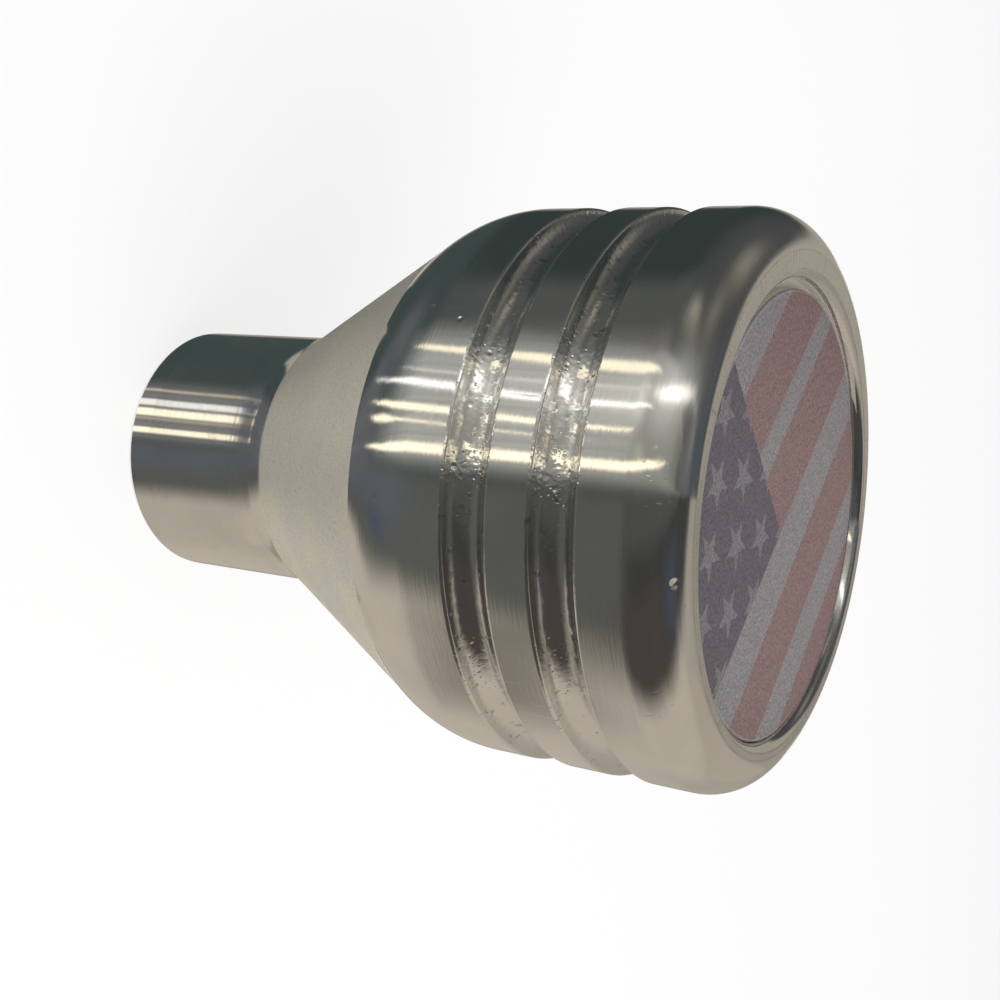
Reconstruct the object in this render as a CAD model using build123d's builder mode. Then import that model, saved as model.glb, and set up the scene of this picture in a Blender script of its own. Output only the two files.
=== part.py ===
from build123d import *
from math import cos, radians, sin, tan
import os

# Gear shift knob: one turned metal body that screws onto the lever, with a printed badge let into its top.
# Millimetres, +Z up along the knob's axis, origin at the centre of the neck's end face.

# Outline of the body, from the end of the neck upwards
neck_diameter = 25.4
neck_length = 17.2
cone_length = 19.3
shoulder_radius = 12.0
shoulder_angle = 34.0  # degrees between the shoulder and the axis where the cone ends
head_diameter = 50.8
lower_band = 3.5  # straight band between the shoulder and the first groove
land_width = 3.4  # straight band between the grooves
upper_band = 3.5  # straight band between the last groove and the crown
crown_height = 4.3

# Grip grooves, half round with softened edges
groove_count = 2
groove_width = 4.35
groove_edge_radius = 0.3

# Flat rim around the badge, and the roundings of the body
rim_width = 5.5  # wall between the recess and the outside of the head
rim_flat = 1.9
rim_edge_radius = 1.0
neck_end_radius = 0.6
neck_fillet = 5.0  # hollow between the neck and the cone
largest_share = 0.9  # share of a wall that a rounding on it may take

# Blind hole for the lever's thread, at its core diameter
bore_diameter = 10.8
bore_depth = 30.0
bore_chamfer = 0.8
drill_point_angle = 118.0

# Printed badge, glued in by hand against one side of its recess, which is bored a little off the axis
recess_offset = 0.5
badge_thickness = 1.0
badge_sink = 0.75  # how far the badge's face lies below the rim
badge_clearance = 0.45
badge_offset = 0.4  # how far the badge lies off the recess's middle
badge_edge_radius = 0.25

# Heights and radii that follow
neck_radius = neck_diameter / 2
head_radius = head_diameter / 2
bore_radius = bore_diameter / 2
drill_tip = bore_depth + bore_radius / tan(radians(drill_point_angle / 2))
crease_height = neck_length + cone_length
crease_radius = head_radius - shoulder_radius * (1 - cos(radians(shoulder_angle)))
shoulder_top = crease_height + shoulder_radius * sin(radians(shoulder_angle))
groove_radius = groove_width / 2 - groove_edge_radius
groove_pitch = groove_width + land_width
first_groove = shoulder_top + lower_band + groove_width / 2
groove_heights = [first_groove + step * groove_pitch for step in range(groove_count)]
crown_start = groove_heights[-1] + groove_width / 2 + upper_band
top_height = crown_start + crown_height
recess_radius = head_radius - rim_width
recess_floor = top_height - badge_sink - badge_thickness
rim_radius = recess_radius + rim_flat
neck_end_fillet = min(neck_end_radius, largest_share * (neck_radius - bore_radius - bore_chamfer))
selection_slack = 0.01


def rings_at(solid, height):
    """Circular edges of a solid at a height, smallest first."""
    level = solid.edges().filter_by(GeomType.CIRCLE)
    level = level.filter_by_position(Axis.Z, height - selection_slack, height + selection_slack)
    return level.sort_by(SortBy.RADIUS)


os.makedirs("parts", exist_ok=True)

with BuildPart() as body:
    # Neck, cone, shoulder, head and crown turned from one bar
    with BuildSketch(Plane.XZ):
        with BuildLine():
            Polyline((0, top_height), (0, 0), (neck_radius, 0), (neck_radius, neck_length))
            Line((neck_radius, neck_length), (crease_radius, crease_height))
            TangentArc((head_radius, shoulder_top), (crease_radius, crease_height), tangent=(0, -1))
            Line((head_radius, shoulder_top), (head_radius, crown_start))
            TangentArc((head_radius, crown_start), (rim_radius, top_height), tangent=(0, 1))
            Line((rim_radius, top_height), (0, top_height))
        make_face()
    revolve(axis=Axis.Z)
    # Half-round grip grooves
    with BuildSketch(Plane.XZ):
        with Locations(*[(head_radius, height) for height in groove_heights]):
            Circle(groove_radius)
    revolve(axis=Axis.Z, mode=Mode.SUBTRACT)
    # Recess for the badge
    with Locations((recess_offset, 0, top_height)):
        Hole(recess_radius, top_height - recess_floor)
    # Blind hole for the lever, with a chamfered mouth and the drill's conical end
    with BuildSketch(Plane.XZ):
        with BuildLine():
            Polyline((0, drill_tip), (0, 0), (bore_radius + bore_chamfer, 0), (bore_radius, bore_chamfer))
            Polyline((bore_radius, bore_chamfer), (bore_radius, bore_depth), (0, drill_tip))
        make_face()
    revolve(axis=Axis.Z, mode=Mode.SUBTRACT)
    # Roundings
    fillet(rings_at(body, neck_length), neck_fillet)
    fillet(rings_at(body, 0)[-1], neck_end_fillet)
    fillet(rings_at(body, top_height)[0], rim_edge_radius)
    for height in groove_heights:
        fillet(rings_at(body, height - groove_radius), groove_edge_radius)
        fillet(rings_at(body, height + groove_radius), groove_edge_radius)

body.part.label = "knob_body"
export_step(body.part, "parts/knob_body.step")

with BuildPart() as badge:
    with BuildSketch(Plane.XY.offset(recess_floor)):
        with Locations((recess_offset + badge_offset, 0)):
            Circle(recess_radius - badge_clearance)
    extrude(amount=badge_thickness)
    fillet(badge.edges().group_by(Axis.Z)[-1], badge_edge_radius)

badge.part.label = "badge_disc"
export_step(badge.part, "parts/badge_disc.step")
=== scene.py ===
import bpy
import numpy as np
from mathutils import Matrix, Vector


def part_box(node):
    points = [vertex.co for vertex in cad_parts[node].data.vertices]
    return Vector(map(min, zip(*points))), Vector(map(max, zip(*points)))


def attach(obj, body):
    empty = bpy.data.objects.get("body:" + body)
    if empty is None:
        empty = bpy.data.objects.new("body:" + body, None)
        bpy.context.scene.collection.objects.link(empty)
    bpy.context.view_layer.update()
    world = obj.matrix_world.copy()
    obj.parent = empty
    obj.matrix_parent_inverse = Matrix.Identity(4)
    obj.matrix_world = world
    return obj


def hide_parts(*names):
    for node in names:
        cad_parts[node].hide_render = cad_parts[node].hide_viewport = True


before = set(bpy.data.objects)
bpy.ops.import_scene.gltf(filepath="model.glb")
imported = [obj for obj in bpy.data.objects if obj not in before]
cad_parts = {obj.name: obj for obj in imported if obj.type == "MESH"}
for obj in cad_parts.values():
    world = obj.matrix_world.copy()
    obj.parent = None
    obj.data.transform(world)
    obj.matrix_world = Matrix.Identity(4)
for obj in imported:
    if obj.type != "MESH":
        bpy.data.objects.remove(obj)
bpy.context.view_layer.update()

# Sizes of the knob in millimetres; the outer ones are read from the CAD nodes
MM = 0.001
_, body_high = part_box("knob_body")
badge_low, badge_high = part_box("badge_disc")
TOP = body_high[2] / MM
HEAD_RADIUS = body_high[0] / MM
NECK_RADIUS = 12.7
NECK_LENGTH = 17.2
NECK_END_RADIUS = 0.6
NECK_FILLET = 5.0
CREASE_HEIGHT = 36.5
SHOULDER_RADIUS = 12.0
SHOULDER_ANGLE = np.radians(34.0)
BAND = 3.5
LAND = 3.4
GROOVE_WIDTH = 4.35
GROOVE_EDGE = 0.3
CROWN_HEIGHT = 4.3
RIM_WIDTH = 5.5
RIM_FLAT = 1.9
RIM_EDGE = 1.0
RECESS_OFFSET = 0.5
BORE_RADIUS = 5.4
BORE_CHAMFER = 0.8
BORE_DEPTH = 30.0
DRILL_POINT = np.radians(118.0)
THREAD_PITCH = 1.25
THREAD_DEPTH = 0.6
THREAD_LENGTH = 26.0
THREAD_START = 0.3
BADGE_FACE = badge_high[2] / MM
BADGE_BACK = badge_low[2] / MM
BADGE_RADIUS = (badge_high[0] - badge_low[0]) / MM / 2
BADGE_CENTRE = (badge_high[0] + badge_low[0]) / MM / 2
BADGE_EDGE = 0.25
SEGMENTS = 256
CORNER_HOLD = 0.02  # how far from a corner a second point keeps its shading crisp
LARGEST_HOLD = 0.2  # share of a line that this may take
SAME_POINT = 1e-6  # points nearer than this are one
PIECE = {}  # numbers of the profiles' pieces, by name

# Heights and radii that follow
CREASE_RADIUS = HEAD_RADIUS - SHOULDER_RADIUS * (1 - np.cos(SHOULDER_ANGLE))
SHOULDER_TOP = CREASE_HEIGHT + SHOULDER_RADIUS * np.sin(SHOULDER_ANGLE)
GROOVE_RADIUS = GROOVE_WIDTH / 2 - GROOVE_EDGE
GROOVE_REACH = np.sqrt((GROOVE_RADIUS + GROOVE_EDGE) ** 2 - GROOVE_EDGE ** 2)
LOWER_GROOVE = SHOULDER_TOP + BAND + GROOVE_WIDTH / 2
UPPER_GROOVE = LOWER_GROOVE + GROOVE_WIDTH + LAND
CROWN_START = TOP - CROWN_HEIGHT
RECESS_RADIUS = HEAD_RADIUS - RIM_WIDTH
RIM_RADIUS = RECESS_RADIUS + RIM_FLAT


def straight(start, end, count):
    """Points evenly spaced on a straight line, with one more held close to each end to keep corners crisp."""
    start, end = np.array(start, float), np.array(end, float)
    hold = min(LARGEST_HOLD, CORNER_HOLD / np.linalg.norm(end - start))
    steps = np.concatenate(([0, hold], np.linspace(0, 1, count)[1:-1], [1 - hold, 1]))
    return start + np.outer(steps, end - start)


def arc(centre, radius, first, last, count):
    """Points at equal angles on a circle: centre + radius (cos a, sin a), with a from first to last."""
    angle = np.linspace(first, last, count)
    return np.array(centre) + radius * np.stack([np.cos(angle), np.sin(angle)], axis=1)


def groove_profile(height):
    """A half-round groove in the side: rounded edge, circle about a point on the side, rounded edge."""
    turn = np.arctan2(GROOVE_REACH, GROOVE_EDGE)
    edge = HEAD_RADIUS - GROOVE_EDGE
    below = arc((edge, height - GROOVE_REACH), GROOVE_EDGE, 0, turn, 7)
    hollow = arc((HEAD_RADIUS, height), GROOVE_RADIUS, np.pi + turn, np.pi - turn, 27)
    above = arc((edge, height + GROOVE_REACH), GROOVE_EDGE, -turn, 0, 7)
    return np.concatenate([below, hollow[1:-1], above])


def join(course):
    """One profile from pieces with names, with repeated points dropped, and the number of the piece that each
    point is from. PIECE keeps the number that belongs to each name."""
    PIECE.update({name: number for number, name in enumerate(course)})
    points = np.concatenate(list(course.values()))
    owner = np.repeat(np.arange(len(course)), [len(piece) for piece in course.values()])
    fresh = np.r_[True, np.linalg.norm(np.diff(points, axis=0), axis=1) > SAME_POINT]
    return points[fresh], owner[fresh]


def turned_piece(name, profile, owner, radius=None, shift=0.0):
    """Surface of revolution. Profile point i, (r, z), turned through angle a, is (s + r cos a, r sin a, z),
    with s the shift of the whole or of that point. The profile starts and ends on the axis, where single
    vertices close the two poles. The UV map holds the length along the profile in metres and the share of the
    turn, and the attribute part the number of the profile's piece."""
    rows = len(profile) - 2
    angle = np.arange(SEGMENTS) * 2 * np.pi / SEGMENTS
    shift = np.broadcast_to(shift, len(profile))
    if radius is None:
        radius = np.repeat(profile[1:-1, :1], SEGMENTS, axis=1)
    ring = np.stack([shift[1:-1, None] + radius * np.cos(angle), radius * np.sin(angle),
                     np.repeat(profile[1:-1, 1:], SEGMENTS, axis=1)], axis=2).reshape(-1, 3)
    poles = np.array([[shift[0], 0, profile[0, 1]], [shift[-1], 0, profile[-1, 1]]])
    points = np.concatenate([ring, poles]) * MM
    i, j = np.meshgrid(np.arange(rows - 1), np.arange(SEGMENTS), indexing="ij")
    k = (j + 1) % SEGMENTS
    quads = np.stack([i * SEGMENTS + j, i * SEGMENTS + k, (i + 1) * SEGMENTS + k, (i + 1) * SEGMENTS + j],
                     axis=-1).reshape(-1, 4)
    here = np.arange(SEGMENTS)
    onward = (here + 1) % SEGMENTS
    first_pole, last_pole = rows * SEGMENTS, rows * SEGMENTS + 1
    start_fan = np.stack([np.full(SEGMENTS, first_pole), onward, here], axis=1)
    base = (rows - 1) * SEGMENTS
    end_fan = np.stack([base + here, base + onward, np.full(SEGMENTS, last_pole)], axis=1)
    mesh = bpy.data.meshes.new(name)
    mesh.from_pydata(points.tolist(), [], quads.tolist() + start_fan.tolist() + end_fan.tolist())
    length = np.r_[0, np.cumsum(np.linalg.norm(np.diff(profile, axis=0), axis=1))] * MM
    low, high = length[1 + i].ravel(), length[2 + i].ravel()
    near, far = (j / SEGMENTS).ravel(), ((j + 1) / SEGMENTS).ravel()
    quad_uv = np.stack([low, near, low, far, high, far, high, near], axis=1).reshape(-1, 2)
    turn, turn_end = here / SEGMENTS, (here + 1) / SEGMENTS
    middle = (turn + turn_end) / 2
    start, second, before, end = np.outer(length[[0, 1, -2, -1]], np.ones(SEGMENTS))
    start_uv = np.stack([start, middle, second, turn_end, second, turn], axis=1).reshape(-1, 2)
    end_uv = np.stack([before, turn, before, turn_end, end, middle], axis=1).reshape(-1, 2)
    uv = mesh.uv_layers.new(name="turning")
    uv.data.foreach_set("uv", np.concatenate([quad_uv, start_uv, end_uv]).astype(np.float32).ravel())
    part = mesh.attributes.new("part", "FLOAT", "POINT")
    each = np.concatenate([np.repeat(owner[1:-1], SEGMENTS), owner[[0, -1]]])
    part.data.foreach_set("value", each.astype(np.float32))
    mesh.polygons.foreach_set("use_smooth", np.ones(len(mesh.polygons), bool))
    mesh.update()
    piece = bpy.data.objects.new(name, mesh)
    bpy.context.collection.objects.link(piece)
    return piece


# Shader helpers

def add(tree, kind, **values):
    """A shader node of a kind, with its properties set by name."""
    node = tree.nodes.new(kind)
    for key, value in values.items():
        setattr(node, key, value)
    return node


def feed(tree, socket, value):
    """Links an output to a socket, or sets a plain value on it."""
    if isinstance(value, bpy.types.NodeSocket):
        tree.links.new(value, socket)
    else:
        socket.default_value = value


def calc(tree, operation, first, second=0.0):
    """A Math node on one or two values."""
    node = add(tree, "ShaderNodeMath", operation=operation)
    feed(tree, node.inputs[0], first)
    feed(tree, node.inputs[1], second)
    return node.outputs[0]


def plus(tree, base, *shares):
    """A value with others added to it, each times its own weight."""
    for value, weight in shares:
        base = calc(tree, "ADD", base, calc(tree, "MULTIPLY", value, weight))
    return base


def blend_colours(tree, share, first, second, way="MIX"):
    """A colour mix of two colours."""
    node = add(tree, "ShaderNodeMix", data_type="RGBA", blend_type=way)
    feed(tree, node.inputs[0], share)
    feed(tree, node.inputs[6], first)
    feed(tree, node.inputs[7], second)
    return node.outputs[2]


def spread(tree, value, low, high, out_low=0.0, out_high=1.0, smooth=False):
    """A Map Range node, clamped."""
    node = add(tree, "ShaderNodeMapRange", interpolation_type="SMOOTHSTEP" if smooth else "LINEAR")
    for socket, given in zip(node.inputs, (value, low, high, out_low, out_high)):
        feed(tree, socket, given)
    return node.outputs[0]


def grain(tree, place, scale, detail=2.0, rough=0.5, dimensions="3D"):
    """A noise value at a place; with one dimension the place is a plain number."""
    node = add(tree, "ShaderNodeTexNoise", noise_dimensions=dimensions)
    feed(tree, node.inputs["W" if dimensions == "1D" else "Vector"], place)
    node.inputs["Scale"].default_value = scale
    node.inputs["Detail"].default_value = detail
    node.inputs["Roughness"].default_value = rough
    return node.outputs[0]


def new_finish(name):
    """An empty node material, its tree, its Principled shader and its output."""
    finish = bpy.data.materials.new(name)
    finish.use_nodes = True
    tree = finish.node_tree
    return finish, tree, tree.nodes["Principled BSDF"], tree.nodes["Material Output"]


def parts_of(tree, vector):
    """The three parts of a vector."""
    node = add(tree, "ShaderNodeSeparateXYZ")
    tree.links.new(vector, node.inputs[0])
    return node.outputs


def drawn_out(tree, where, scale):
    """A place with each axis scaled, which presses a pattern together or draws it out."""
    node = add(tree, "ShaderNodeMapping")
    node.inputs["Scale"].default_value = scale
    tree.links.new(where, node.inputs["Vector"])
    return node.outputs[0]


def raised(tree, height, strength, depth, under=None):
    """A Bump node, over another where one is given: a height of 1 stands for a depth in mm."""
    node = add(tree, "ShaderNodeBump")
    node.inputs["Strength"].default_value = strength
    node.inputs["Distance"].default_value = depth * MM
    tree.links.new(height, node.inputs["Height"])
    if under is not None:
        tree.links.new(under, node.inputs["Normal"])
    return node.outputs[0]


def shown_rays(tree):
    """1 for the camera's rays and for mirrored and transmitted ones, and 0 for the rest."""
    path = add(tree, "ShaderNodeLightPath")
    shown = calc(tree, "MAXIMUM", path.outputs["Is Camera Ray"], path.outputs["Is Glossy Ray"])
    return calc(tree, "MAXIMUM", shown, path.outputs["Is Transmission Ray"])


def stand(item, right, up, back, place):
    """Stands a camera or a lamp at a place in metres, with its own axes along three unit directions."""
    bpy.context.collection.objects.link(item)
    rows = np.stack([right, up, back, place], axis=1).tolist()
    item.matrix_world = Matrix(rows + [[0, 0, 0, 1]])


# Camera: part frame, millimetres, with the picture's right and up directions
CAMERA_PLACE = np.array((0.0, -113.273, 104.12))
PICTURE_RIGHT = np.array((-0.10078, 0.50708, 0.85599))
PICTURE_UP = np.array((-0.99475, -0.03611, -0.09573))
PICTURE_SHIFT = (0.001, 0.0016)
SENSOR_WIDTH = 36.0
LENS = 48.9
NEAREST_SIGHT = 5.0
right = PICTURE_RIGHT / np.linalg.norm(PICTURE_RIGHT)
up = PICTURE_UP - right * (PICTURE_UP @ right)
up /= np.linalg.norm(up)
camera_data = bpy.data.cameras.new("camera")
camera_data.sensor_width = SENSOR_WIDTH
camera_data.lens = LENS
camera_data.shift_x, camera_data.shift_y = PICTURE_SHIFT
camera_data.clip_start = NEAREST_SIGHT * MM
camera = bpy.data.objects.new("camera", camera_data)
stand(camera, right, up, np.cross(right, up), CAMERA_PLACE * MM)
bpy.context.scene.camera = camera
bpy.context.scene.view_settings.view_transform = "Standard"

# Body
drill_tip = BORE_DEPTH + BORE_RADIUS / np.tan(DRILL_POINT / 2)
cone_angle = np.arctan2(CREASE_RADIUS - NECK_RADIUS, CREASE_HEIGHT - NECK_LENGTH)
fillet_rise = NECK_FILLET * np.tan(cone_angle / 2)
fillet_centre = (NECK_RADIUS + NECK_FILLET, NECK_LENGTH - fillet_rise)
fillet_end = (fillet_centre[0] - NECK_FILLET * np.cos(cone_angle),
              fillet_centre[1] + NECK_FILLET * np.sin(cone_angle))
shoulder_centre = (HEAD_RADIUS - SHOULDER_RADIUS, SHOULDER_TOP)
crease_end = CORNER_HOLD / SHOULDER_RADIUS - SHOULDER_ANGLE
crown_run = HEAD_RADIUS - RIM_RADIUS
crown_radius = (crown_run ** 2 + CROWN_HEIGHT ** 2) / (2 * crown_run)
crown_turn = np.arcsin(CROWN_HEIGHT / crown_radius)
profile, owner = join({
    "drill end": straight((0, drill_tip), (BORE_RADIUS, BORE_DEPTH), 4),
    "bore wall": straight((BORE_RADIUS, BORE_DEPTH), (BORE_RADIUS, BORE_CHAMFER), 140),
    "mouth chamfer": straight((BORE_RADIUS, BORE_CHAMFER), (BORE_RADIUS + BORE_CHAMFER, 0), 3),
    "neck face": straight((BORE_RADIUS + BORE_CHAMFER, 0), (NECK_RADIUS - NECK_END_RADIUS, 0), 5),
    "neck edge": arc((NECK_RADIUS - NECK_END_RADIUS, NECK_END_RADIUS), NECK_END_RADIUS, -np.pi / 2, 0, 8),
    "neck side": straight((NECK_RADIUS, NECK_END_RADIUS), (NECK_RADIUS, fillet_centre[1]), 8),
    "neck hollow": arc(fillet_centre, NECK_FILLET, np.pi, np.pi - cone_angle, 12),
    "cone": straight(fillet_end, (CREASE_RADIUS, CREASE_HEIGHT), 10),
    "crease": arc(shoulder_centre, SHOULDER_RADIUS, -SHOULDER_ANGLE, crease_end, 2),
    "shoulder": arc(shoulder_centre, SHOULDER_RADIUS, -SHOULDER_ANGLE, 0, 18)[1:],
    "lower band": straight((HEAD_RADIUS, SHOULDER_TOP), (HEAD_RADIUS, LOWER_GROOVE - GROOVE_REACH), 4),
    "lower groove": groove_profile(LOWER_GROOVE),
    "land": straight((HEAD_RADIUS, LOWER_GROOVE + GROOVE_REACH),
                     (HEAD_RADIUS, UPPER_GROOVE - GROOVE_REACH), 4),
    "upper groove": groove_profile(UPPER_GROOVE),
    "upper band": straight((HEAD_RADIUS, UPPER_GROOVE + GROOVE_REACH), (HEAD_RADIUS, CROWN_START), 4),
    "crown": arc((HEAD_RADIUS - crown_radius, CROWN_START), crown_radius, 0, crown_turn, 22),
    "rim": straight((RIM_RADIUS, TOP), (RECESS_RADIUS + RIM_EDGE, TOP), 4),
    "lip": arc((RECESS_RADIUS + RIM_EDGE, TOP - RIM_EDGE), RIM_EDGE, np.pi / 2, np.pi, 18),
    "recess wall": straight((RECESS_RADIUS, TOP - RIM_EDGE), (RECESS_RADIUS, BADGE_BACK), 4),
    "recess floor": straight((RECESS_RADIUS, BADGE_BACK), (0, BADGE_BACK), 3),
})
# Lever's thread: the bore wall moves out in a helical wave, triangular along the axis, that grows from the
# chamfer and runs out at its inner end
angle = np.arange(SEGMENTS) * 2 * np.pi / SEGMENTS
radius = np.repeat(profile[1:-1, :1], SEGMENTS, axis=1)
level = profile[1:-1, 1:]
phase = (level / THREAD_PITCH - angle / (2 * np.pi)) % 1.0
wave = 1 - np.abs(2 * phase - 1)
growth = np.clip((level - BORE_CHAMFER) / THREAD_START, 0, 1)
runout = np.clip((THREAD_LENGTH - level) / THREAD_PITCH, 0, 1) * growth
radius = radius + np.where(owner[1:-1, None] == PIECE["bore wall"], THREAD_DEPTH * wave * runout, 0)
# The recess, with its lip, lies off the axis, and the flat rim takes up the shift
share = np.clip((RIM_RADIUS - profile[:, 0]) / (RIM_FLAT - RIM_EDGE), 0, 1)
off_axis = np.where(owner >= PIECE["rim"], RECESS_OFFSET * share, 0)
body = turned_piece("knob_body_turned", profile, owner, radius, off_axis)
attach(body, "root")
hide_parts("knob_body")

# Badge
badge_profile, badge_owner = join({
    "badge back": straight((0, BADGE_BACK), (BADGE_RADIUS, BADGE_BACK), 3),
    "badge side": straight((BADGE_RADIUS, BADGE_BACK), (BADGE_RADIUS, BADGE_FACE - BADGE_EDGE), 3),
    "badge edge": arc((BADGE_RADIUS - BADGE_EDGE, BADGE_FACE - BADGE_EDGE), BADGE_EDGE, 0, np.pi / 2, 6),
    "badge face": straight((BADGE_RADIUS - BADGE_EDGE, BADGE_FACE), (0, BADGE_FACE), 12),
})
badge = turned_piece("badge_printed", badge_profile, badge_owner, shift=BADGE_CENTRE)
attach(badge, "root")
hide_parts("badge_disc")


# Turned aluminium

def zone(tree, part, first, last=None):
    """1 on the profile's pieces from first to last, by name, and 0 elsewhere."""
    after = calc(tree, "GREATER_THAN", part, PIECE[first] - 0.5)
    before = calc(tree, "LESS_THAN", part, PIECE[last or first] + 0.5)
    return calc(tree, "MULTIPLY", after, before)


def pits(tree, where, scale, size, share):
    """Small round pits: a smooth dome about the middle of a share of the cells of a Voronoi pattern."""
    cells = add(tree, "ShaderNodeTexVoronoi")
    tree.links.new(where, cells.inputs["Vector"])
    cells.inputs["Scale"].default_value = scale
    chosen = calc(tree, "LESS_THAN", cells.outputs["Color"], share)
    return calc(tree, "MULTIPLY", chosen, spread(tree, cells.outputs["Distance"], 0.0, size, 1.0, 0.0, True))


def nick(tree, where, height, bearing, size):
    """One dent in the outside: a smooth dome about the point at a height in mm and a bearing in degrees."""
    outside = (owner >= PIECE["neck side"]) & (owner <= PIECE["crown"])
    reach = np.interp(height, profile[outside, 1], profile[outside, 0])
    turn = np.radians(bearing)
    place = np.array((reach * np.sin(turn), -reach * np.cos(turn), height)) * MM
    gap = add(tree, "ShaderNodeVectorMath", operation="DISTANCE")
    tree.links.new(where, gap.inputs[0])
    gap.inputs[1].default_value = place
    return spread(tree, gap.outputs["Value"], 0.0, size * MM, 1.0, 0.0, True)


# Tones of the metal, and sizes of its marks in millimetres
BRIGHT_TONES = ((0.80, 0.79, 0.765, 1), (0.86, 0.85, 0.83, 1))
CONE_TONES = ((0.615, 0.57, 0.465, 1), (0.565, 0.535, 0.475, 1))
RECESS_TONE = (0.52, 0.49, 0.43, 1)
STAIN_TONE = (0.45, 0.43, 0.40, 1)
# Painted shade: a dark tone laid in the far side of the recess
RECESS_SHADE_TONE = (0.07, 0.07, 0.068, 1)
CHIP_TONE = (0.34, 0.32, 0.30, 1)
PIT_TONE = (0.30, 0.28, 0.25, 1)
SCORE_TONE = (0.40, 0.38, 0.35, 1)
SCUFF_TONE = (0.42, 0.41, 0.37, 1)
SATIN_BEFORE = 0.4  # the satin grows from here before the cone's start
SATIN_AFTER = 0.2  # to here behind it
RIM_LINE = 0.10
LIP_LINE = 0.11
LIP_LINE_SHARE = 0.8  # share of the lip's rounding at which its line lies
RECESS_SHADE_LOW = (-12.5, -9.5)  # the painted shade in the recess fades between these along X
RECESS_SHADE_HIGH = (12.0, 16.0)  # and between these
RECESS_SHADE_SIDE = (0.0, 5.0)  # and between these along Y
TURNING_DEPTH = 0.02
DENT_DEPTH = 0.05
# Nicks: height, bearing in degrees, radius and share of the dents' depth
NICKS = ((65.9, 15.7, 0.55, 3.0), (42.0, -31.5, 0.4, 0.8), (45.1, -28.8, 0.35, 0.8), (40.5, 6.0, 0.35, 1.0))
aluminium, tree, shader, _ = new_finish("turned_aluminium")
along = parts_of(tree, add(tree, "ShaderNodeUVMap", uv_map="turning").outputs[0])[0]
where = add(tree, "ShaderNodeTexCoord").outputs["Object"]
axes = parts_of(tree, where)
part = add(tree, "ShaderNodeAttribute", attribute_name="part").outputs["Fac"]
start = float(fillet_end[1])
satin = spread(tree, axes[2], (start - SATIN_BEFORE) * MM, (start + SATIN_AFTER) * MM, 0.0, 1.0, True)
satin = calc(tree, "MULTIPLY", satin, zone(tree, part, "neck hollow", "cone"))
hollow = calc(tree, "ADD", zone(tree, part, "lower groove"), zone(tree, part, "upper groove"))
outside = zone(tree, part, "crease", "crown")
rim = zone(tree, part, "rim")
recess = zone(tree, part, "recess wall", "recess floor")
inside = zone(tree, part, "drill end", "mouth chamfer")
# Turning marks, stains and grain
rings = grain(tree, along, 5200.0, 1.0, 0.5, "1D")
comb = grain(tree, drawn_out(tree, where, (1, 1, 8)), 520.0, 1.0, 0.5)
cuts = grain(tree, along, 1400.0, 2.0, 0.6, "1D")
cloud = spread(tree, grain(tree, where, 160.0, 3.0, 0.55), 0.35, 0.65)
smear = spread(tree, grain(tree, where, 330.0, 4.0, 0.65), 0.52, 0.72, 0.0, 1.0, True)
speck = grain(tree, where, 3800.0, 2.0, 0.6)
# Scratches along the axis in loose groups, and radial ones on the rim
scratch = spread(tree, grain(tree, drawn_out(tree, where, (1, 1, 0.045)), 2600.0, 1.0, 0.5), 0.68, 0.74)
groups = spread(tree, grain(tree, where, 130.0, 1.0, 0.5), 0.50, 0.60)
scratch = calc(tree, "MULTIPLY", calc(tree, "MULTIPLY", scratch, groups), outside)
plan = add(tree, "ShaderNodeCombineXYZ")
tree.links.new(axes[0], plan.inputs[0])
tree.links.new(axes[1], plan.inputs[1])
bearing = add(tree, "ShaderNodeVectorMath", operation="NORMALIZE")
tree.links.new(plan.outputs[0], bearing.inputs[0])
score = spread(tree, grain(tree, bearing.outputs[0], 75.0, 2.0, 0.7), 0.57, 0.68)
groups = spread(tree, grain(tree, where, 520.0, 1.0, 0.5), 0.48, 0.60)
score = calc(tree, "MULTIPLY", calc(tree, "MULTIPLY", score, groups), rim)


def ring_line(radius, half, offset=0.0):
    """A fine line round the axis, or round an axis beside it: 1 at a radius, falling to 0 half a width away,
    in mm."""
    reach = add(tree, "ShaderNodeVectorMath", operation="DISTANCE")
    tree.links.new(plan.outputs[0], reach.inputs[0])
    reach.inputs[1].default_value = (offset * MM, 0, 0)
    gap = calc(tree, "ABSOLUTE", calc(tree, "SUBTRACT", reach.outputs["Value"], radius * MM))
    return spread(tree, gap, 0.0, half * MM, 1.0, 0.0)


lines = calc(tree, "MAXIMUM", ring_line(RIM_RADIUS, RIM_LINE),
             ring_line(RECESS_RADIUS + LIP_LINE_SHARE * RIM_EDGE, LIP_LINE, RECESS_OFFSET))
lines = calc(tree, "MULTIPLY", lines, zone(tree, part, "crown", "lip"))
lines = calc(tree, "MULTIPLY", lines, spread(tree, grain(tree, where, 420.0, 2.0, 0.6), 0.36, 0.6, 0.2, 1.0))
# Painted shade in the far side of the recess, chipped cuts in the grooves, pits on the cone and scuffs on the
# rim
recess_shade = calc(tree, "MULTIPLY", spread(tree, axes[0], RECESS_SHADE_LOW[0] * MM, RECESS_SHADE_LOW[1] * MM),
            spread(tree, axes[0], RECESS_SHADE_HIGH[0] * MM, RECESS_SHADE_HIGH[1] * MM, 1.0, 0.0))
recess_shade = calc(tree, "MULTIPLY", recess_shade, spread(tree, axes[1], RECESS_SHADE_SIDE[0] * MM, RECESS_SHADE_SIDE[1] * MM))
recess_shade = calc(tree, "MULTIPLY", recess_shade, recess)
chips = calc(tree, "MULTIPLY", spread(tree, grain(tree, where, 1500.0, 2.0, 0.6), 0.60, 0.66),
             spread(tree, grain(tree, where, 300.0, 1.0, 0.5), 0.46, 0.58))
chips = calc(tree, "MULTIPLY", chips, hollow)
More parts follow.
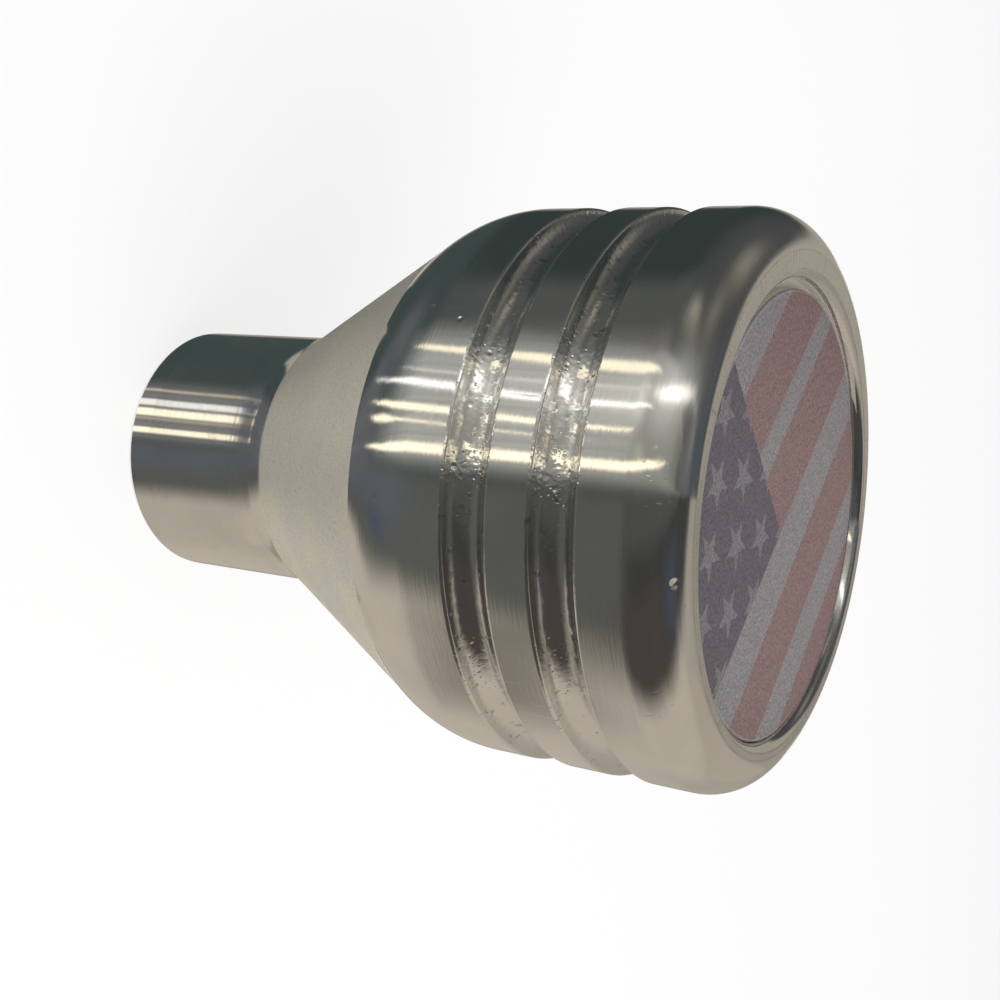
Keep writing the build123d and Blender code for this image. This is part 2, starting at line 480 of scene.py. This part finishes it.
nicked = calc(tree, "ADD", spread(tree, speck, 0.60, 0.72, 0.0, 0.6), pits(tree, where, 330.0, 0.11, 0.22))
nicked = calc(tree, "MULTIPLY", satin, calc(tree, "MINIMUM", nicked, 0.75))
scuffs = calc(tree, "MULTIPLY", zone(tree, part, "rim", "lip"), spread(tree, speck, 0.52, 0.72, 0.0, 0.4))
stain = calc(tree, "MULTIPLY", smear, zone(tree, part, "neck side", "cone"))
# Colour: bright metal and the dusty cone, with the marks and the painted shade in the recess laid over them
dust = spread(tree, grain(tree, where, 5200.0, 3.0, 0.7), 0.3, 0.7, 0.86, 1.14)
grey_dust = add(tree, "ShaderNodeCombineColor")
for socket in grey_dust.inputs:
    tree.links.new(dust, socket)
cone_tone = blend_colours(tree, cloud, *CONE_TONES)
cone_tone = blend_colours(tree, 1.0, cone_tone, grey_dust.outputs[0], "MULTIPLY")
tone = blend_colours(tree, cloud, *BRIGHT_TONES)
tone = blend_colours(tree, calc(tree, "MULTIPLY", stain, 0.14), tone, STAIN_TONE)
tone = blend_colours(tree, satin, tone, cone_tone)
tone = blend_colours(tree, recess, tone, RECESS_TONE)
# Painted shade: the far side of the recess darkened
tone = blend_colours(tree, recess_shade, tone, RECESS_SHADE_TONE)
tone = blend_colours(tree, calc(tree, "MULTIPLY", chips, 0.55), tone, CHIP_TONE)
tone = blend_colours(tree, nicked, tone, PIT_TONE)
tone = blend_colours(tree, calc(tree, "MULTIPLY", score, 0.7), tone, SCORE_TONE)
tone = blend_colours(tree, calc(tree, "MULTIPLY", lines, 0.5), tone, PIT_TONE)
tone = blend_colours(tree, scuffs, tone, SCUFF_TONE)
tree.links.new(tone, shader.inputs["Base Color"])
tree.links.new(plus(tree, 1.0, (satin, -0.5), (recess, -0.8)), shader.inputs["Metallic"])
# Gloss: polished outside, finely turned rim, satin cone and matte recess
matte = calc(tree, "ADD", satin, recess)
rough = plus(tree, spread(tree, cuts, 0.3, 0.7, 0.075, 0.11), (matte, 0.42), (smear, 0.05), (rim, 0.12),
             (hollow, 0.02), (inside, 0.2), (scratch, 0.1))
tree.links.new(rough, shader.inputs["Roughness"])
shader.inputs["Anisotropic"].default_value = 0.85
tangent = add(tree, "ShaderNodeTangent", direction_type="UV_MAP", uv_map="turning")
tree.links.new(tangent.outputs[0], shader.inputs["Tangent"])
# Relief: fine turning first, then chatter and pits in the grooves, dents, nicks and scratches
relief = plus(tree, calc(tree, "MULTIPLY", rings, 0.6), (cuts, 0.4), (comb, 1.2),
              (calc(tree, "MULTIPLY", satin, speck), 2.0))
turning = raised(tree, relief, 0.2, TURNING_DEPTH)
chatter = plus(tree, calc(tree, "MULTIPLY", grain(tree, where, 1500.0, 1.5, 0.55), 0.45),
               (pits(tree, where, 2000.0, 0.3, 0.45), -0.3), (pits(tree, where, 800.0, 0.26, 0.6), -0.5))
marks = plus(tree, calc(tree, "MULTIPLY", hollow, chatter),
             (calc(tree, "MULTIPLY", outside, pits(tree, where, 260.0, 0.07, 0.5)), -0.35),
             (calc(tree, "MULTIPLY", satin, pits(tree, where, 330.0, 0.09, 0.5)), -0.6),
             (scratch, -0.05), (score, -0.12), (chips, -0.16))
for height, turn, size, depth in NICKS:
    marks = plus(tree, marks, (nick(tree, where, height, turn, size), -depth))
tree.links.new(raised(tree, marks, 1.0, DENT_DEPTH, turning), shader.inputs["Normal"])
body.data.materials.append(aluminium)

# Printed badge: stripes and a field of stars on a grained matte face
PRINT_TURN = np.radians(41.0)
STRIPE_EDGES = (-14.8, -8.5, -5.6, 1.0, 5.8, 11.7, 15.9)
FIELD_SIDE = 2.1
FIELD_TOP = STRIPE_EDGES[3]
STAR_RADIUS = 2.2
STAR_NOTCH = 0.40
STAR_PITCH = (8.4, 7.05)
STAR_PLACES = ((5.6, -2.5), (9.75, -6.0))
PRINT_RED = (0.268, 0.177, 0.172, 1)
PRINT_PALE = (0.280, 0.266, 0.274, 1)
PRINT_BLUE = (0.136, 0.122, 0.145, 1)
PRINT_STAR = (0.215, 0.202, 0.215, 1)
DOT_TONE = (0.50, 0.48, 0.48, 1)
# Painted shade: the tone that darkens the print towards -X
BADGE_SHADE_TONE = (0.82, 0.80, 0.81, 1)
# Painted highlight: a lighter tone on the badge's rounded edge
EDGE_HIGHLIGHT_TONE = (0.42, 0.41, 0.42, 1)
BACK_TONE = (0.72, 0.69, 0.64, 1)
BADGE_SHADE_SIDE = (-18.0, -5.0)  # painted shade: the print grows darker towards -X between these along X
PRINT_DEPTH = 0.03
printed, tree, shader, _ = new_finish("printed_badge")
where = add(tree, "ShaderNodeTexCoord").outputs["Object"]
part = add(tree, "ShaderNodeAttribute", attribute_name="part").outputs["Fac"]
turn = add(tree, "ShaderNodeMapping")
turn.inputs["Rotation"].default_value = (0, 0, PRINT_TURN)
turn.inputs["Scale"].default_value = (1 / MM, 1 / MM, 1 / MM)
tree.links.new(where, turn.inputs["Vector"])
dots = grain(tree, turn.outputs[0], 4.4, 2.0, 0.75)
edge_noise = calc(tree, "MULTIPLY", calc(tree, "SUBTRACT", dots, 0.5), 0.3)
flat = parts_of(tree, turn.outputs[0])
along = calc(tree, "ADD", flat[0], edge_noise)
across = calc(tree, "ADD", flat[1], edge_noise)
stripes = add(tree, "ShaderNodeValToRGB")
stripes.color_ramp.interpolation = "CONSTANT"
span = 2 * BADGE_RADIUS
tree.links.new(spread(tree, across, -BADGE_RADIUS, BADGE_RADIUS), stripes.inputs[0])
stops = stripes.color_ramp.elements
stops[0].position = 0.0
stops[0].color = PRINT_PALE
stops[1].position = (STRIPE_EDGES[0] + BADGE_RADIUS) / span
stops[1].color = PRINT_RED
for count, edge in enumerate(STRIPE_EDGES[1:]):
    stop = stops.new((edge + BADGE_RADIUS) / span)
    stop.color = PRINT_RED if count % 2 else PRINT_PALE
field = calc(tree, "MULTIPLY", calc(tree, "GREATER_THAN", along, FIELD_SIDE),
             calc(tree, "LESS_THAN", across, FIELD_TOP))


def star_mask(first_place):
    """Five-pointed stars on a lattice: inside where r cos(a - n) < d, with a the angle folded to one half of
    a tip, and n and d the bearing and the distance of that half's edge."""
    half = np.pi / 5
    normal = np.array((STAR_NOTCH * np.sin(half), 1 - STAR_NOTCH * np.cos(half)))
    reach = STAR_RADIUS * STAR_NOTCH * np.sin(half) / np.linalg.norm(normal)
    lean = float(np.arctan2(normal[1], normal[0]))
    local = []
    for value, place, pitch in zip((along, across), first_place, STAR_PITCH):
        cell = calc(tree, "ADD", calc(tree, "DIVIDE", calc(tree, "SUBTRACT", value, place), pitch), 0.5)
        within = calc(tree, "SUBTRACT", calc(tree, "FLOORED_MODULO", cell, 1.0), 0.5)
        local.append(calc(tree, "MULTIPLY", within, pitch))
    distance = calc(tree, "SQRT", calc(tree, "ADD", calc(tree, "MULTIPLY", local[0], local[0]),
                                       calc(tree, "MULTIPLY", local[1], local[1])))
    bearing = calc(tree, "ARCTAN2", local[0], calc(tree, "MULTIPLY", local[1], -1.0))
    fold = calc(tree, "FLOORED_MODULO", calc(tree, "ADD", bearing, half), 2 * half)
    fold = calc(tree, "ABSOLUTE", calc(tree, "SUBTRACT", fold, half))
    depth = calc(tree, "MULTIPLY", distance, calc(tree, "COSINE", calc(tree, "SUBTRACT", fold, lean)))
    return calc(tree, "LESS_THAN", depth, float(reach))


stars = calc(tree, "MAXIMUM", star_mask(STAR_PLACES[0]), star_mask(STAR_PLACES[1]))
colour = blend_colours(tree, field, stripes.outputs[0], PRINT_BLUE)
colour = blend_colours(tree, calc(tree, "MULTIPLY", field, stars), colour, PRINT_STAR)
colour = blend_colours(tree, spread(tree, dots, 0.34, 0.66), colour, DOT_TONE, "MULTIPLY")
# Painted shade: the print darker towards -X
badge_shade = spread(tree, parts_of(tree, where)[0], BADGE_SHADE_SIDE[0] * MM, BADGE_SHADE_SIDE[1] * MM, 1.0, 0.0)
colour = blend_colours(tree, badge_shade, colour, BADGE_SHADE_TONE, "MULTIPLY")
# Painted highlight: the badge's rounded edge made lighter all round
edge_highlight = calc(tree, "MULTIPLY", zone(tree, part, "badge edge"), 0.3)
colour = blend_colours(tree, edge_highlight, colour, EDGE_HIGHLIGHT_TONE)
colour = blend_colours(tree, zone(tree, part, "badge back", "badge side"), colour, BACK_TONE)
tree.links.new(colour, shader.inputs["Base Color"])
shader.inputs["Roughness"].default_value = 0.55
shader.inputs["Specular IOR Level"].default_value = 0.35
tree.links.new(raised(tree, dots, 0.25, PRINT_DEPTH), shader.inputs["Normal"])
badge.data.materials.append(printed)


# Stage: floor, and what the metal mirrors

def stage_grid(name, points, colour=None):
    """An open grid of points, rows by columns, as a stage mesh, with an optional colour at each point."""
    rows, columns = points.shape[:2]
    i, j = np.meshgrid(np.arange(rows - 1), np.arange(columns - 1), indexing="ij")
    corner = i * columns + j
    quads = np.stack([corner, corner + 1, corner + columns + 1, corner + columns], axis=-1)
    mesh = bpy.data.meshes.new(name)
    mesh.from_pydata(points.reshape(-1, 3).tolist(), [], quads.reshape(-1, 4).tolist())
    if colour is not None:
        layer = mesh.attributes.new("glow", "FLOAT_COLOR", "POINT")
        opaque = np.ones(colour.shape[:2] + (1,))
        layer.data.foreach_set("color", np.concatenate([colour, opaque], axis=2).ravel())
    piece = bpy.data.objects.new(name, mesh)
    bpy.context.collection.objects.link(piece)
    return piece


def in_mirror_only(piece):
    """A stage piece that only mirrored rays meet."""
    piece.visible_camera = False
    piece.visible_diffuse = False
    piece.visible_transmission = False
    piece.visible_volume_scatter = False
    piece.visible_shadow = False


def direction(azimuth, elevation):
    """Unit vectors from azimuth, 0 towards the camera and 90 towards +X, and elevation above the floor, in
    degrees."""
    a, e = np.radians(azimuth), np.radians(elevation)
    return np.stack([np.sin(a) * np.cos(e), -np.cos(a) * np.cos(e), np.sin(e)], axis=-1)


def step(value, low, high):
    """Smooth step from 0 at low to 1 at high."""
    t = np.clip((value - low) / (high - low), 0, 1)
    return t * t * (3 - 2 * t)


def glow_material(name):
    """A plain glowing sheet whose colour is the mesh's own glow attribute."""
    sheet, tree, shader, output = new_finish(name)
    sheet.cycles.emission_sampling = "NONE"
    glow = add(tree, "ShaderNodeAttribute", attribute_name="glow")
    lamp = add(tree, "ShaderNodeEmission")
    lamp.inputs["Strength"].default_value = 1.0
    tree.links.new(glow.outputs["Color"], lamp.inputs["Color"])
    tree.links.new(lamp.outputs[0], output.inputs["Surface"])
    tree.nodes.remove(shader)
    return sheet


ROOM_RADIUS = 1.2
ROOM_CENTRE = np.array((0, 0, 0.04))
MIRROR_TONE = 0.82
CREAM = np.array((1.0, 0.90, 0.68))
WHITE = np.array((1.0, 0.98, 0.93))
STRIP_SOFT = 0.2  # degrees that the edge of the thinnest strip takes
STRIP_SOFTER = 0.4  # and the share of half its width that comes to it
STRIP_THIN = 0.3  # half widths below this are fainter


def seen(red, green, blue):
    """The light that the metal shows as a given display colour: its linear value over the metal's tone."""
    return ((np.array((red, green, blue)) / 255 + 0.055) / 1.055) ** 2.4 / MIRROR_TONE


def over(base, colour, share):
    """A colour laid over another by a share at each point."""
    return base + (colour - base) * share[..., None]


def patch(azimuth, elevation, at_azimuth, at_elevation, half_azimuth, half_elevation):
    """A soft round patch: a bell curve of azimuth times one of elevation."""
    sideways = (azimuth - at_azimuth) / half_azimuth
    upwards = (elevation - at_elevation) / half_elevation
    return np.exp(-sideways ** 2 - upwards ** 2)


def strip(azimuth, elevation, stations):
    """Share of a strip lamp: 1 within half its width of its middle line, with a soft edge. Stations give
    elevation, azimuth and width in degrees."""
    at, middle, width = np.array(stations, float).T
    offset = np.abs(azimuth - np.interp(elevation, at, middle)) * np.cos(np.radians(elevation))
    half = np.interp(elevation, at, width, left=0, right=0) / 2
    soft = STRIP_SOFT + STRIP_SOFTER * half
    return step(half - offset, -soft, soft) * np.clip(half, 0, STRIP_THIN) / STRIP_THIN


HEAD_STRIPS = (
    (CREAM * 1.3, ((-53, -54.6, 0), (-46, -52, 1.1), (-38, -49.9, 1.9), (-30, -48.6, 2.8), (-25, -46.8, 4.2),
                   (-11, -45, 3.6), (4, -44, 1.6), (12, -43, 0))),
    (WHITE * 0.75, ((-64, -49, 0), (-54, -44.6, 0.5), (-42, -40.5, 0.8), (-37, -39.8, 0.9), (-30, -38.6, 1.2),
                   (-20, -38, 1.2), (-6, -37.5, 1.4), (4, -37, 0))),
    (WHITE * 1.5, ((-86, -73, 0), (-80, -57.8, 0.35), (-70, -45.8, 0.5), (-59, -40, 1.0), (-49, -36.9, 1.9),
                   (-38, -34.8, 2.3), (-30, -32, 2.5), (-25, -31.5, 2.0), (-10, -30.8, 1.6), (5, -30.3, 1.0),
                   (14, -30, 0))),
    (CREAM * 1.6, ((-86, -50, 0), (-75, -36, 0.5), (-61, -28.7, 1.3), (-52, -26.6, 1.9), (-44, -25.1, 2.0),
                   (-37, -24.5, 2.1), (-30, -22.8, 1.9), (-25, -22, 1.4), (-14, -22.5, 0))),
    (CREAM * 1.4, ((-82, -33, 0), (-75, -26.9, 0.9), (-67, -23.8, 1.7), (-61, -22, 1.5), (-56, -21, 0.9),
                   (-48, -20, 0.8), (-37, -18.8, 0.8), (-30, -17.5, 0.6), (-22, -17, 0))),
    (CREAM * 1.6, ((-84, -12.9, 0), (-78, -11.1, 0.4), (-65, -8.9, 1.1), (-57, -8.8, 2.1), (-46, -8.5, 2.8),
                   (-36, -8.7, 3.2), (-20, -8.5, 3.2), (5, -9, 3.2), (30, -10.5, 2.6), (44, -12.5, 1.4),
                   (56, -16, 0))),
)
HALO = seen(160, 161, 157)
NECK_HALO = seen(124, 123, 123)
NECK_STRIPS = (
    (CREAM * 0.55, ((-90, -51.2, 2.0), (0, -51.2, 2.0))),
    (WHITE * 1.1, ((-90, -38.3, 4.4), (0, -38.3, 4.4))),
    (CREAM * 1.5, ((-90, -28.7, 5.0), (0, -28.7, 5.0))),
    (CREAM * 0.45, ((-90, -22.6, 1.8), (0, -22.6, 1.8))),
    (CREAM * 1.4, ((-90, -11.3, 3.6), (0, -11.3, 3.6))),
)


def room_light(azimuth, elevation, strips=HEAD_STRIPS, halo=HALO):
    """Light from a direction: soft layers laid over each other, each a tone shared out by smooth steps or
    bell curves of azimuth and elevation in degrees, with the strip lamps on top."""
    room = np.broadcast_to(seen(58, 68, 67), azimuth.shape + (3,))
    room = over(room, seen(90, 92, 94), patch(azimuth, elevation, -72, -66, 20, 10))
    # Dark room, greyer at eye level and a little lighter above, with two dim pale things in it
    room = over(room, seen(48, 56, 55), step(elevation, -42, -36))
    room = over(room, seen(66, 68, 68), step(elevation, -12, 14))
    room = over(room, seen(84, 85, 84), step(elevation, 50, 66))
    room = over(room, seen(74, 79, 84), step(np.abs(azimuth), 140, 155) * step(elevation, 42, 52))
    room = over(room, seen(110, 109, 102), patch(azimuth, elevation, -70, 27, 9, 18))
    room = over(room, seen(140, 135, 122), patch(azimuth, elevation, -74.5, 24, 5, 9))
    room = over(room, seen(122, 118, 108), patch(azimuth, elevation, -125, 34, 15, 9))
    room = over(room, seen(104, 101, 93), patch(azimuth, elevation, -98, 46, 16, 10))
    # Grey wall beside the strip lamps, and the glow round them
    wall = step(elevation, -46, -34) * (1 - step(elevation, -6, 16)) * (1 - step(azimuth, -12, 4))
    room = over(room, seen(76, 78, 77), wall * step(azimuth, -93, -78))
    room = over(room, seen(106, 105, 105), wall * step(azimuth, -68, -50))
    near = step(azimuth, np.interp(elevation, (-36, -14), (-66, -54)), -44) * (1 - step(azimuth, -12, 4))
    waves = np.sin(3.7 * azimuth) + np.sin(2.4 * azimuth + 1) + np.sin(1.53 * azimuth + 2)
    ripple = 1 + 0.07 * waves * (1 - step(elevation, -28, -16))
    foot = np.interp(azimuth, (-50, -34, -20, -8), (-68, -76, -84, -88))
    room = over(room, halo * ripple[..., None], near * step(elevation, foot, -34))
    room = over(room, seen(132, 132, 126) * ripple[..., None], near * step(elevation, -32, -4))
    room = over(room, seen(116, 116, 110), near * step(elevation, 56, 70))
    room = over(room, seen(84, 85, 84), near * step(elevation, 70, 80))
    # Bare bulb in it, with a wide halo
    course = np.interp(elevation, (2, 17, 27, 44, 54, 64, 71, 75),
                       (-35.5, -36, -37.7, -44, -52, -67, -99, -140))
    bulb = (azimuth - course) * np.cos(np.radians(elevation))
    room = over(room, seen(222, 219, 210), 0.85 * patch(azimuth, elevation, -33, -14, 9, 11))
    room = over(room, seen(204, 203, 197), 0.8 * np.exp(-(bulb / 12.5) ** 2 - ((elevation - 32) / 32) ** 2))
    tail = np.exp(-(bulb / 3) ** 2) * step(elevation, 36, 48) * (1 - step(elevation, 60, 74))
    room = over(room, WHITE * 1.2, 0.95 * tail)
    core = np.exp(-(bulb / 2.6) ** 2 - ((elevation - 36) / 21) ** 2)
    room = over(room, WHITE * 1.6, np.clip(1.5 * core, 0, 1))
    room = over(room, seen(196, 190, 170), 0.45 * patch(azimuth, elevation, -13, -2, 4, 9))
    # Dark middle with brown and blue in it
    room = over(room, seen(83, 84, 80), step(azimuth, -6, 8))
    low = (1 - step(azimuth, 14, 34)) * (1 - step(elevation, -44, -36))
    room = over(room, seen(84, 88, 93), step(azimuth, -6, 8) * low)
    room = over(room, seen(72, 72, 71), step(azimuth, -4, 6) * step(elevation, -26, -8))
    room = over(room, seen(56, 56, 55), step(azimuth, 10, 30) * step(elevation, -24, 4))
    room = over(room, seen(58, 72, 94), 0.7 * patch(azimuth, elevation, 28, -66, 7, 9))
    brown = step(elevation, -26, -5) * (1 - step(elevation, 46, 60))
    room = over(room, seen(66, 59, 56), step(azimuth, 32, 45) * brown)
    room = over(room, seen(64, 74, 88), 0.8 * patch(azimuth, elevation, 75, 68, 28, 12))
    # Pale warm side, greyer further round
    at = (-75, -60, -45, -30, -15, 0, 15, 30, 45, 60)
    edge = np.interp(elevation, at, (62, 52, 46, 60, 81, 82, 83, 85, 94, 108))
    soft = np.interp(elevation, at, (22, 14, 12, 16, 16, 11, 9, 10, 13, 16))
    warm = step(azimuth, edge - soft, edge + soft) * (1 - step(elevation, 52, 70))
    room = over(room, seen(173, 165, 153), warm)
    room = over(room, seen(154, 148, 137), warm * step(azimuth, 118, 142) * step(elevation, -30, -10))
    room = over(room, seen(119, 113, 102), np.exp(-((elevation + 31) / 9) ** 2) * step(azimuth, 50, 64)
                * (1 - step(azimuth, 92, 126)))
    # Grey behind, and grey straight below
    room = over(room, seen(142, 136, 125), step(azimuth, 150, 168) * (1 - step(elevation, 40, 60)))
    room = over(room, seen(152, 147, 135), (1 - step(azimuth, -158, -151)) * (1 - step(elevation, 32, 44)))
    below = (1 - step(elevation, -82, -66)) * step(azimuth, -100, -64) * (1 - step(azimuth, -4, 20))
    room = over(room, seen(88, 90, 94), below)
    for tint, stations in strips:
        room = over(room, tint, strip(azimuth, elevation, stations))
    return room


def glow_card(name, points, colour):
    """A stage card that glows with its own colours, and that only mirrored rays meet."""
    card = stage_grid(name, points, colour)
    card.data.materials.append(glow_material(name + "_glow"))
    in_mirror_only(card)


def ground(wall, bearing, distance, height):
    """Points on the floor in front of a round wall. A ray that the wall sends off at azimuth a leaves it at
    half that azimuth, so the point at distance d is wall (sin a/2, -cos a/2) + d (sin a, -cos a), here at a
    height."""
    half, whole = np.radians(bearing / 2), np.radians(bearing)
    x = wall * np.sin(half) + distance * np.sin(whole)
    y = -wall * np.cos(half) - distance * np.cos(whole)
    return np.stack([x, y, height + np.zeros_like(bearing)], axis=-1) * MM


# Room card: a dome that stands on the floor. Two cards on the floor carry its light below the knob, one for
# the head and one for the neck, and the floor is bare behind the knob and between the cards
ROOM_FOOT = -1.9  # degrees
sight = np.concatenate([np.arange(-180, -72, 3.0), np.arange(-72, 3, 0.5), np.arange(3, 181, 3.0)])
azimuth, elevation = np.meshgrid(sight, np.linspace(ROOM_FOOT, 90, 42))
points = ROOM_CENTRE + ROOM_RADIUS * direction(azimuth, elevation)
glow_card("room_card", points, room_light(azimuth, elevation))

# Head card: flat, at the elevation of a ray from the middle of the head
HEAD_SIGHT_HEIGHT = 53.0
HEAD_WALL = HEAD_RADIUS - 1.0
HEAD_SWEEP = 166  # degrees
HEAD_CARD_HEIGHT = 0.1
HEAD_CARD_REACH = (0.5, 1185.0)
sweep = sight[np.abs(sight) <= HEAD_SWEEP]
azimuth, distance = np.meshgrid(sweep, np.geomspace(*HEAD_CARD_REACH, 70))
glow_card("head_card", ground(HEAD_WALL, azimuth, distance, HEAD_CARD_HEIGHT),
          room_light(azimuth, -np.degrees(np.arctan2(HEAD_SIGHT_HEIGHT, distance))))

# Neck card: blades that lean over towards the neck, so that the neck sees their faces and the hollow, the
# cone and the shoulder, which look down more steeply, see only their backs
NECK_SIGHT = -43.0  # degrees
BACK_SIGHT = -80.0  # degrees
NECK_SWEEP = 178  # degrees
NECK_WALL = NECK_RADIUS + 0.1
RIB_COUNT = 51
RIB_PITCH = 0.3
RIB_FOOT = 0.2
RIB_RISE = 2.4
RIB_LEAN = 2.0
RIB_GAP = 0.01
RIB_NEAREST = 0.05
sweep = sight[np.abs(sight) <= NECK_SWEEP]
rib = np.arange(RIB_COUNT) * RIB_PITCH - RIB_LEAN + RIB_NEAREST
rib_end = rib + RIB_PITCH + RIB_LEAN - RIB_GAP
distance = np.stack([rib + RIB_LEAN, rib, rib + RIB_GAP, rib_end], axis=1).ravel()
distance = np.maximum(distance, RIB_NEAREST)
height = RIB_FOOT + np.tile((0.0, RIB_RISE, RIB_RISE, 0.0), RIB_COUNT)
facing = np.tile((1.0, 1.0, 0.0, 0.0), RIB_COUNT)
azimuth, distance = np.meshgrid(sweep, distance)
points = ground(NECK_WALL, azimuth, distance, height[:, None])
overhead = 2 * np.degrees(np.arctan2(points[..., 0], -points[..., 1]))
glow = over(room_light(overhead, np.full_like(azimuth, BACK_SIGHT), ()),
            room_light(azimuth, np.full_like(azimuth, NECK_SIGHT), NECK_STRIPS, NECK_HALO),
            np.broadcast_to(facing[:, None], azimuth.shape))
glow_card("neck_card", points, glow)

# Back cards: flat, behind the neck on both sides, where its outline looks along the floor
BACK_CARD_HEIGHT = 0.15
for name, side in (("back_card_left", -1), ("back_card_right", 1)):
    azimuth, distance = np.meshgrid(side * np.linspace(96, 178, 28), np.linspace(13.0, 26.0, 6))
    points = ground(NECK_WALL, azimuth, distance, BACK_CARD_HEIGHT)
    glow_card(name, points, room_light(azimuth, np.full_like(azimuth, NECK_SIGHT)))

# Lip card: a small sheet beyond the head, level with the rim, that the far side of the lip mirrors
LIP_CARD_REACH = 30.0
side, rise = np.meshgrid(np.linspace(-3.5, 20.0, 5), np.linspace(TOP + 0.1, TOP + 34.0, 5))
glow_card("lip_card", np.stack([np.full_like(side, LIP_CARD_REACH), side, rise], axis=-1) * MM,
          np.broadcast_to(seen(160, 152, 140), side.shape + (3,)))

# Floor: pale, lifted to white for the camera and for mirrored and transmitted rays, with the shadow kept
FLOOR_SIZE = 6.0
FLOOR_LIFT = 0.78  # share of white in it for those rays
across = np.linspace(-FLOOR_SIZE, FLOOR_SIZE, 9)
ground_x, ground_y = np.meshgrid(across, across)
floor = stage_grid("floor", np.stack([ground_x, ground_y, np.zeros_like(ground_x)], axis=-1))
pale, tree, shader, output = new_finish("pale_floor")
shader.inputs["Base Color"].default_value = (0.92, 0.92, 0.915, 1)
shader.inputs["Roughness"].default_value = 0.8
white = add(tree, "ShaderNodeEmission")
white.inputs["Color"].default_value = (1, 1, 1, 1)
white.inputs["Strength"].default_value = 1.0
both = add(tree, "ShaderNodeMixShader")
tree.links.new(calc(tree, "MULTIPLY", shown_rays(tree), FLOOR_LIFT), both.inputs[0])
tree.links.new(shader.outputs[0], both.inputs[1])
tree.links.new(white.outputs[0], both.inputs[2])
tree.links.new(both.outputs[0], output.inputs["Surface"])
floor.data.materials.append(pale)

# World: soft light, a little stronger from +X, and white where it is seen
WORLD_LEVELS = (0.45, 0.75)
world = bpy.data.worlds.new("studio")
bpy.context.scene.world = world
world.use_nodes = True
tree = world.node_tree
tree.nodes.clear()
soft = add(tree, "ShaderNodeBackground")
soft.inputs["Color"].default_value = (1, 1, 1, 1)
aim = parts_of(tree, add(tree, "ShaderNodeTexCoord").outputs["Generated"])
even = spread(tree, aim[0], -1.0, 1.0, *WORLD_LEVELS)
tree.links.new(calc(tree, "MAXIMUM", shown_rays(tree), even), soft.inputs["Strength"])
tree.links.new(soft.outputs[0], add(tree, "ShaderNodeOutputWorld").inputs["Surface"])

# Lamps
KNOB_MIDDLE = np.array((0, 0, 0.035))
NEARLY_UP = (0.0, 0.01, 1.0)


def soft_lamp(name, place, size, power):
    """A square area lamp at a place in metres that faces the middle of the knob."""
    data = bpy.data.lights.new(name, "AREA")
    data.shape = "SQUARE"
    data.size = size
    data.energy = power
    lamp = bpy.data.objects.new(name, data)
    lamp.visible_glossy = False
    away = np.array(place) - KNOB_MIDDLE
    away /= np.linalg.norm(away)
    side = np.cross(NEARLY_UP, away)
    side /= np.linalg.norm(side)
    stand(lamp, side, np.cross(away, side), away, place)


soft_lamp("key_lamp", (0.4, -0.25, 0.7), 0.7, 4.4)
soft_lamp("side_lamp", (0.5, -0.3, 0.12), 0.3, 1.8)
